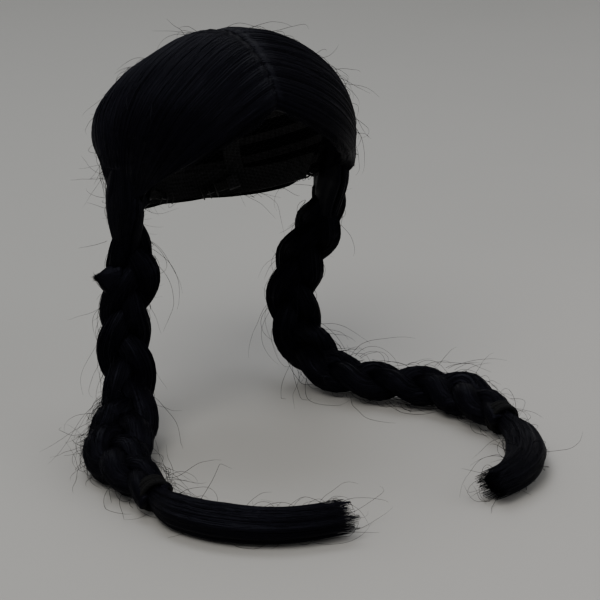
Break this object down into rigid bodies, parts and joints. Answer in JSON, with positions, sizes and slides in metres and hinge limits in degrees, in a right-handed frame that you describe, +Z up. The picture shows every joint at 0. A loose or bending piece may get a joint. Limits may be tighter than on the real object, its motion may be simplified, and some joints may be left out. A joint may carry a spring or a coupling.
{
  "type": "plaited costume wig",
  "caption": "Black costume wig with a centre part and two long plaits, each ending in an elastic tie and a loose tail, over an adjustable elastic cap.",
  "frame": {"origin": "the middle of the head cavity, at the centre of the dome of hair", "axes": "+Z up out of the crown, -Y towards the face, +X towards the wearer's left ear"},
  "size_m": [0.2899, 0.3435, 0.2654],
  "materials": {
    "hair": "black synthetic fibre, low sheen",
    "hair_elastic": "covered elastic",
    "cap_net": "open stretch net",
    "weft_tape": "machine-sewn weft",
    "parting_base": "woven base",
    "hook_plastic": "moulded",
    "loop_cord": "sewn cord",
    "strap_elastic": "woven elastic",
    "cap_tape": "stretch tape"
  },
  "bodies": {
    "cap": {"cap_net": "cap_net", "front_band": "cap_tape", "nape_band": "cap_tape", "centre_crown_strap": "cap_tape", "parting_strip": "parting_base", "weft_row_1": "weft_tape", "weft_row_2": "weft_tape", "weft_row_3": "weft_tape", "weft_row_4": "weft_tape", "weft_row_5": "weft_tape", "weft_row_6": "weft_tape", "weft_row_7": "weft_tape", "right_hair_nape": "hair", "right_hair_back": "hair", "right_hair_crown": "hair", "right_hair_top": "hair", "right_hair_fringe": "hair", "right_ear_tab": "cap_tape", "right_crown_strap": "cap_tape", "right_gather": "hair", "right_adjuster_sleeve": "strap_elastic", "right_adjuster_loops": "loop_cord", "left_hair_nape": "hair", "left_hair_back": "hair", "left_hair_crown": "hair", "left_hair_top": "hair", "left_hair_fringe": "hair", "left_ear_tab": "cap_tape", "left_crown_strap": "cap_tape", "left_gather": "hair", "left_adjuster_sleeve": "strap_elastic", "left_adjuster_loops": "loop_cord"},
    "right_plait_top": {"right_plait_hanging": "hair"},
    "right_plait_end": {"right_plait_lying": "hair", "right_hair_tie": "hair_elastic"},
    "right_loose_end": {"right_tail": "hair"},
    "right_adjuster": {"right_adjuster_strap": "strap_elastic", "right_adjuster_hook": "hook_plastic"},
    "left_plait_top": {"left_plait_hanging": "hair"},
    "left_plait_end": {"left_plait_lying": "hair", "left_hair_tie": "hair_elastic"},
    "left_loose_end": {"left_tail": "hair"},
    "left_adjuster": {"left_adjuster_strap": "strap_elastic", "left_adjuster_hook": "hook_plastic"}
  },
  "joints": [
    {"name": "right_plait_swing", "type": "hinge", "parent": "cap", "child": "right_plait_top", "pos_m": [-0.079, -0.022, -0.046], "axis": [-1, 0, 0], "range_deg": [0, 30]},
    {"name": "right_plait_bend", "type": "hinge", "parent": "right_plait_top", "child": "right_plait_end", "pos_m": [-0.08799, -0.03844, -0.15095], "axis": [-0.9734, 0.229, 0], "range_deg": [-70, 30]},
    {"name": "right_tail_turn", "type": "hinge", "parent": "right_plait_end", "child": "right_loose_end", "pos_m": [-0.12172, -0.17249, -0.1727], "axis": [0, 0, 1], "range_deg": [-30, 30]},
    {"name": "right_adjuster_slide", "type": "slide", "parent": "cap", "child": "right_adjuster", "axis": [0.9131, 0.2612, -0.313], "range_m": [-0.005, 0.005]},
    {"name": "left_plait_swing", "type": "hinge", "parent": "cap", "child": "left_plait_top", "pos_m": [0.079, 0.002, -0.046], "axis": [-1, 0, 0], "range_deg": [0, 30]},
    {"name": "left_plait_bend", "type": "hinge", "parent": "left_plait_top", "child": "left_plait_end", "pos_m": [0.0695, 0.008, -0.155], "axis": [-0.9981, -0.0624, 0], "range_deg": [-70, 30]},
    {"name": "left_tail_turn", "type": "hinge", "parent": "left_plait_end", "child": "left_loose_end", "pos_m": [0.13875, -0.15624, -0.1727], "axis": [0, 0, 1], "range_deg": [-30, 30]},
    {"name": "left_adjuster_slide", "type": "slide", "parent": "cap", "child": "left_adjuster", "axis": [-0.9131, 0.2612, -0.313], "range_m": [-0.005, 0.005]}
  ]
}
